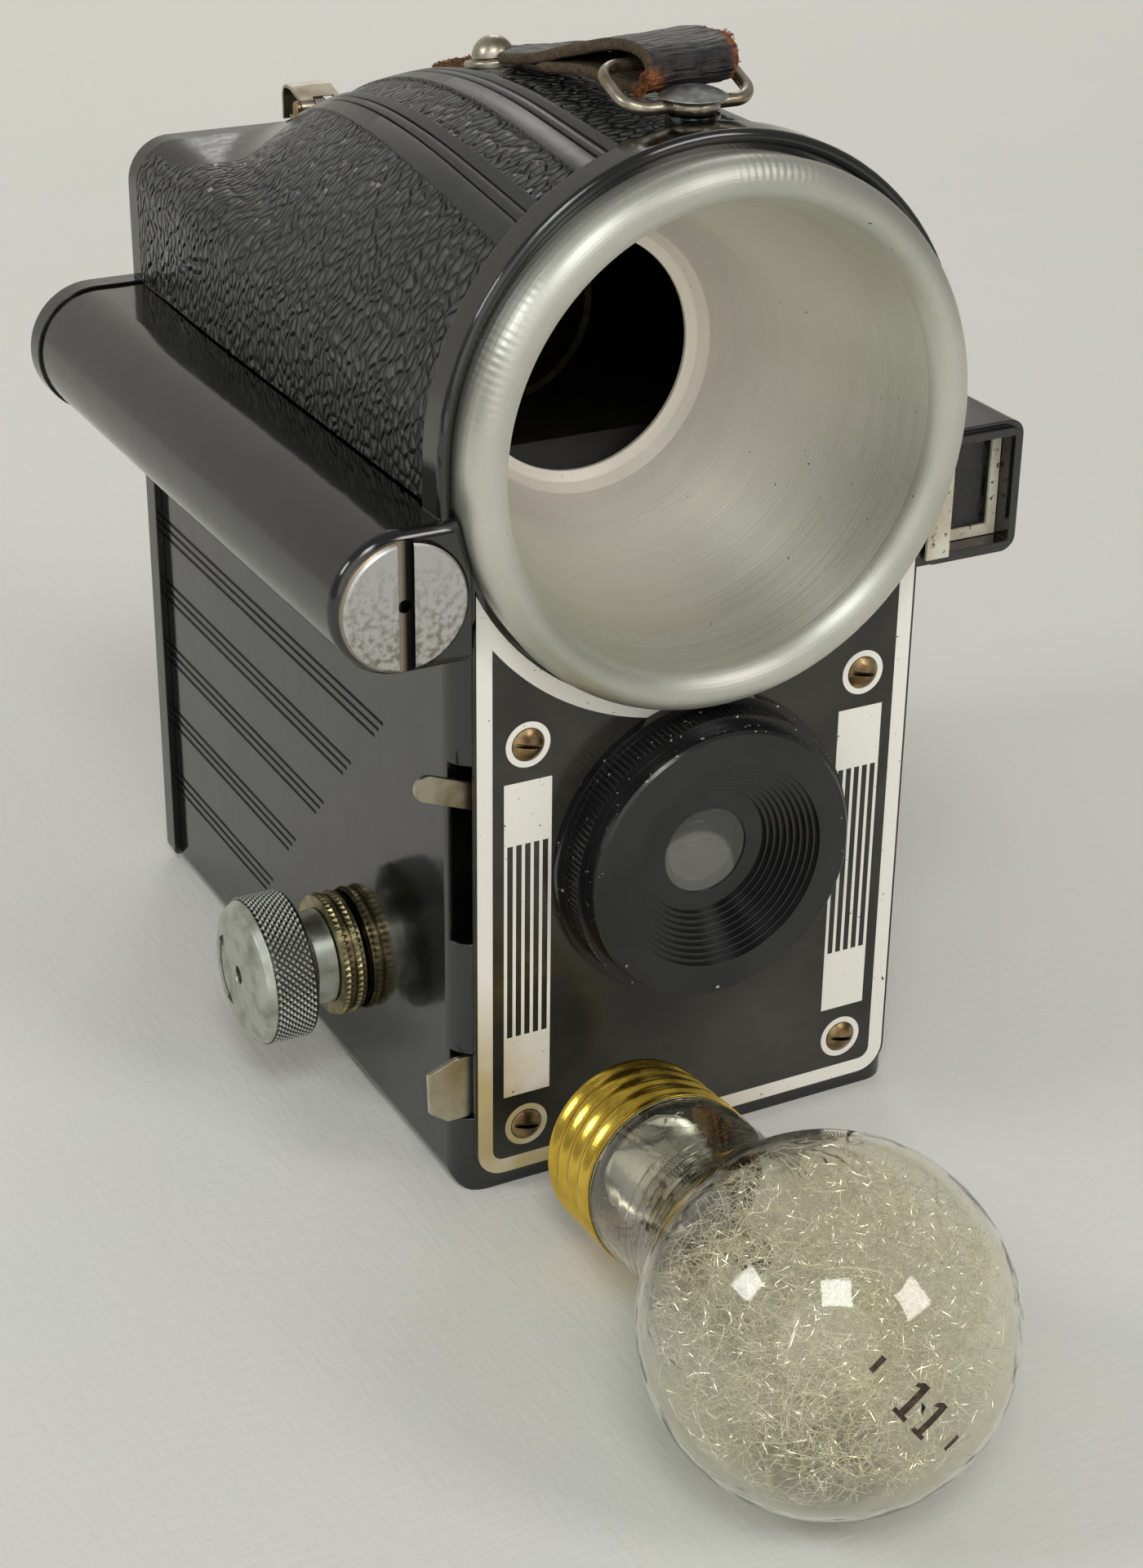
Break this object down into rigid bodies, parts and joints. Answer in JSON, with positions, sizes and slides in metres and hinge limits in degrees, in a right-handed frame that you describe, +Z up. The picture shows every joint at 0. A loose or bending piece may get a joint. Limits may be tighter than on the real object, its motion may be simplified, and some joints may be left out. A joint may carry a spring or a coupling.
{
  "type": "press flash",
  "caption": "Black moulded box camera with built-in flash reflector, side battery tube, optical finder, hinged back, carrying strap and its screw-base flash bulb lying in front.",
  "frame": {"origin": "centre of the case's base face, on the surface that the camera stands on", "axes": "+X to the right of the camera's face, +Y to its back, +Z up"},
  "size_m": [0.109, 0.2185, 0.1618],
  "materials": {
    "bakelite": "semi-gloss with a moulded grain",
    "black_enamel": "satin",
    "black_metal": "gloss",
    "aluminium": "spun, dulled",
    "turned_aluminium": "turned and knurled",
    "nickel": "tarnished nickel plate",
    "brass": "patinated",
    "bright_brass": "bright",
    "steel": "satin",
    "dark_steel": "matte black",
    "optical_glass": "clear",
    "bulb_glass": "clear",
    "red_window": "clear red",
    "insulator": "matte",
    "leather": "creased",
    "torn_leather": "frayed",
    "foil": "crumpled",
    "cell_jacket": "gloss"
  },
  "bodies": {
    "case": {"body_shell": "bakelite", "hinge_pin": "steel", "latch_pin": "brass", "latch_base": "brass", "latch_spring": "steel", "front_plate": "black_enamel", "plate_screws": "brass", "lens_bezel": "black_metal", "lens_element": "optical_glass", "lens_ring": "dark_steel", "aperture_plate": "dark_steel", "shutter_plate": "steel", "shutter_spring": "steel", "reflector": "aluminium", "socket_body": "insulator", "socket_shell": "brass", "socket_contact": "brass", "socket_bracket": "steel", "flash_floor": "dark_steel", "contact_strip": "brass", "battery_front": "cell_jacket", "battery_rear": "cell_jacket", "spool_pins": "steel", "film_frame": "dark_steel", "film_guides": "steel", "finder_mask": "nickel", "finder_front_lens": "optical_glass", "ring_washer": "nickel", "strap_front_rivet": "nickel", "strap_rear_rivet": "nickel", "strap_washer": "nickel", "strap_leather": "leather", "strap_stub": "torn_leather"},
    "cover": {"back_cover": "bakelite", "cover_window": "red_window", "pressure_plate": "dark_steel", "pressure_spring": "steel", "finder_rear_lens": "optical_glass"},
    "latch": {"cover_latch": "nickel"},
    "lever": {"release_lever": "nickel"},
    "blade": {"shutter_blade": "dark_steel"},
    "time_tab": {"time_lever": "nickel"},
    "winder": {"knob_flange": "brass"},
    "knob": {"winding_knob": "turned_aluminium", "wind_shaft": "steel"},
    "takeup": {"takeup_spool": "dark_steel"},
    "supply": {"supply_spool": "dark_steel"},
    "cap_carrier": {"cap_spring": "steel"},
    "cap": {"battery_cap": "turned_aluminium"},
    "ring": {"strap_ring": "nickel"},
    "bulb": {"bulb_globe": "bulb_glass", "bulb_base": "bright_brass", "bulb_insulator": "insulator", "bulb_contact": "steel", "bulb_foil": "foil", "bulb_stem": "bulb_glass"}
  },
  "joints": [
    {"name": "cover_hinge", "type": "hinge", "parent": "case", "child": "cover", "pos_m": [0, 0.06, 0.0028], "axis": [-1, 0, 0], "range_deg": [0, 90]},
    {"name": "latch_lift", "type": "hinge", "parent": "case", "child": "latch", "pos_m": [-0.0078, 0.0547, 0.1318], "axis": [1, 0, 0], "range_deg": [0, 60], "stiffness_Nm_per_rad": 0.01, "springref_deg": -22.92},
    {"name": "release_press", "type": "hinge", "parent": "case", "child": "lever", "pos_m": [-0.008, -0.0557, 0.054], "axis": [0, -1, 0], "range_deg": [0, 40], "stiffness_Nm_per_rad": 0.01, "springref_deg": -22.92},
    {"name": "shutter_swing", "type": "hinge", "parent": "case", "child": "blade", "pos_m": [0.012, -0.05475, 0.062], "axis": [0, -1, 0], "range_deg": [0, 48.5]},
    {"name": "time_slide", "type": "slide", "parent": "case", "child": "time_tab", "axis": [-1, 0, 0], "range_m": [0, 0.004]},
    {"name": "winder_spin", "type": "hinge", "parent": "case", "child": "winder", "pos_m": [-0.0392, -0.0168, 0.0207], "axis": [-1, 0, 0], "continuous": true},
    {"name": "knob_pull", "type": "slide", "parent": "winder", "child": "knob", "axis": [-1, 0, 0], "range_m": [0, 0.0034]},
    {"name": "takeup_spin", "type": "hinge", "parent": "case", "child": "takeup", "pos_m": [0, -0.0168, 0.0207], "axis": [-1, 0, 0], "continuous": true},
    {"name": "supply_spin", "type": "hinge", "parent": "case", "child": "supply", "pos_m": [0, -0.002, 0.083], "axis": [-1, 0, 0], "continuous": true},
    {"name": "cap_travel", "type": "slide", "parent": "case", "child": "cap_carrier", "axis": [0, -1, 0], "range_m": [0, 0.0045]},
    {"name": "cap_turn", "type": "hinge", "parent": "cap_carrier", "child": "cap", "pos_m": [-0.046, -0.06, 0.096], "axis": [0, -1, 0], "range_deg": [0, 1081]},
    {"name": "ring_swing", "type": "hinge", "parent": "case", "child": "ring", "pos_m": [0.001, -0.049, 0.1533], "axis": [0, 0, 1], "range_deg": [-4, 4]},
    {"name": "bulb_lift", "type": "slide", "parent": "case", "child": "bulb", "axis": [0, 0, 1], "range_m": [0, 0.05]}
  ],
  "couplings": [
    {"joint": "shutter_swing", "follows": "release_press", "ratio": 1.2},
    {"joint": "takeup_spin", "follows": "winder_spin", "ratio": 1},
    {"joint": "cap_turn", "follows": "cap_travel", "rad_per_m": 4188.8}
  ]
}
